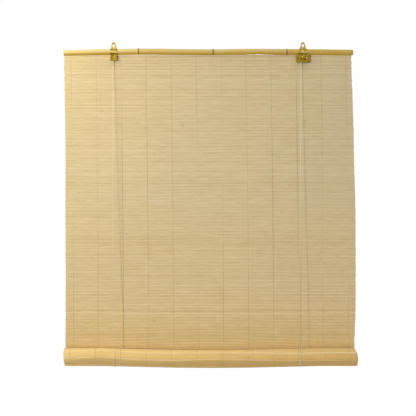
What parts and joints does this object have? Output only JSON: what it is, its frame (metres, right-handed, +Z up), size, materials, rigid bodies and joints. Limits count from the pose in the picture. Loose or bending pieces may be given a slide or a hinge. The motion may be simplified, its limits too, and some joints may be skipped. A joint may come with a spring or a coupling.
{
  "type": "bamboo roll-up blind",
  "caption": "Split-bamboo roll-up blind on a cane head rod, with brass hangers, a pulley, a cord lock, lift cords and a partly rolled foot.",
  "frame": {"origin": "midway between the two hanging eyes, in the middle of their sheet", "axes": "+X along the head rod to the right seen from the front, front faces -Y, +Z up"},
  "size_m": [0.9, 0.0758, 1.006],
  "materials": {
    "cane": "natural bamboo cane, waxy skin",
    "splint": "bare split bamboo",
    "thread": "twisted cotton thread",
    "brass": "brass-plated stamped sheet",
    "wheel": "turned brass",
    "cord": "braided cotton cord"
  },
  "bodies": {
    "head": {"head_rod": "cane", "reed_mat": "splint", "warp_threads": "thread", "left_hanger": "brass", "right_hanger": "brass", "left_pulley_housing": "brass", "lock_housing": "brass", "hanger_bolts": "brass", "hanger_washers": "brass", "hanger_nuts": "brass", "left_axle_rivet": "brass", "lock_axle_rivet": "brass", "lock_post": "brass", "left_cord_front": "cord", "right_cord_front": "cord", "left_cord_back": "cord", "right_cord_back": "cord", "left_cord_tie": "cord", "right_cord_tie": "cord", "transfer_cord": "cord", "lock_cord": "cord", "lock_knot": "cord"},
    "sling": {"left_cord_sling": "cord", "right_cord_sling": "cord"},
    "roll": {"rolled_mat": "splint", "bottom_rod": "cane"},
    "left_wheel": {"left_pulley_wheel": "wheel"},
    "lock_wheel": {"lock_pulley": "wheel"},
    "roller": {"lock_roller": "wheel"}
  },
  "joints": [
    {"name": "roll_lift", "type": "slide", "parent": "head", "child": "sling", "axis": [0, 0, 1], "range_m": [0, 0.8702], "deforming": ["reed_mat", "warp_threads", "left_cord_front", "right_cord_front", "left_cord_back", "right_cord_back"]},
    {"name": "roll_turn", "type": "hinge", "parent": "sling", "child": "roll", "pos_m": [0, -0.02258, -0.963], "axis": [1, 0, 0], "range_deg": [-1800, 0]},
    {"name": "left_wheel_turn", "type": "hinge", "parent": "head", "child": "left_wheel", "pos_m": [-0.2914, -0.0026, -0.0365], "axis": [0, 1, 0], "continuous": true},
    {"name": "lock_wheel_turn", "type": "hinge", "parent": "head", "child": "lock_wheel", "pos_m": [0.2922, -0.00422, -0.0365], "axis": [0, 1, 0], "continuous": true},
    {"name": "roller_slide", "type": "slide", "parent": "head", "child": "roller", "axis": [0.2588, 0, 0.9659], "range_m": [-0.005, 0]}
  ],
  "couplings": [
    {"joint": "roll_turn", "follows": "roll_lift", "rad_per_m": -36.101},
    {"joint": "left_wheel_turn", "follows": "roll_lift", "rad_per_m": 412.37},
    {"joint": "lock_wheel_turn", "follows": "roll_lift", "rad_per_m": 412.37}
  ]
}
